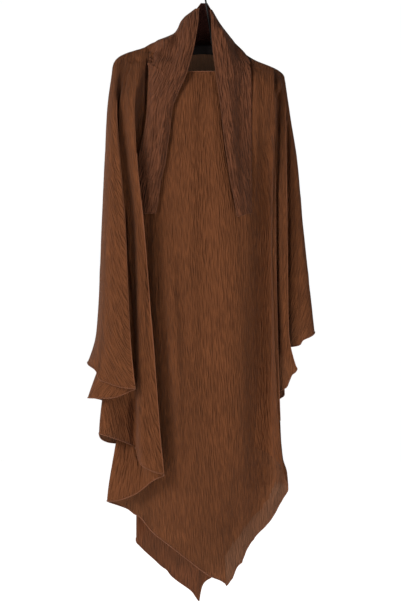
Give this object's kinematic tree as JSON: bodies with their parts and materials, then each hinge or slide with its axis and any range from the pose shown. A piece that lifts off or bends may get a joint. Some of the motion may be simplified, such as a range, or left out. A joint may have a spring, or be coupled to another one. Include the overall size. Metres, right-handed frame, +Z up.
{
  "type": "overhead abaya (khimar) on hanger",
  "caption": "Plain crinkled overhead abaya with head band, two wide hanging ties and pointed hems, hung in folds on a contoured hanger with a wire hook.",
  "frame": {"origin": "inside top of the hanger's hook, where the rail carries it", "axes": "+Z up, +X to the right of a viewer who faces the garment's front, +Y away from that viewer"},
  "size_m": [0.5748, 0.23, 1.5991],
  "materials": {
    "crepe": "matt brown crinkled crepe with fine upright crinkles and narrow rolled hems",
    "crepe_strip": "the same crepe, crinkled more strongly along the strips",
    "hanger_plastic": "satin black moulded plastic",
    "hook_steel": "black lacquered steel wire"
  },
  "bodies": {
    "root": {"cape_front": "crepe", "cape_back": "crepe", "crown": "crepe", "band_left": "crepe_strip", "band_right": "crepe_strip", "tie_left": "crepe_strip", "tie_right": "crepe_strip", "hanger_body": "hanger_plastic", "hanger_hook": "hook_steel"}
  },
  "joints": []
}
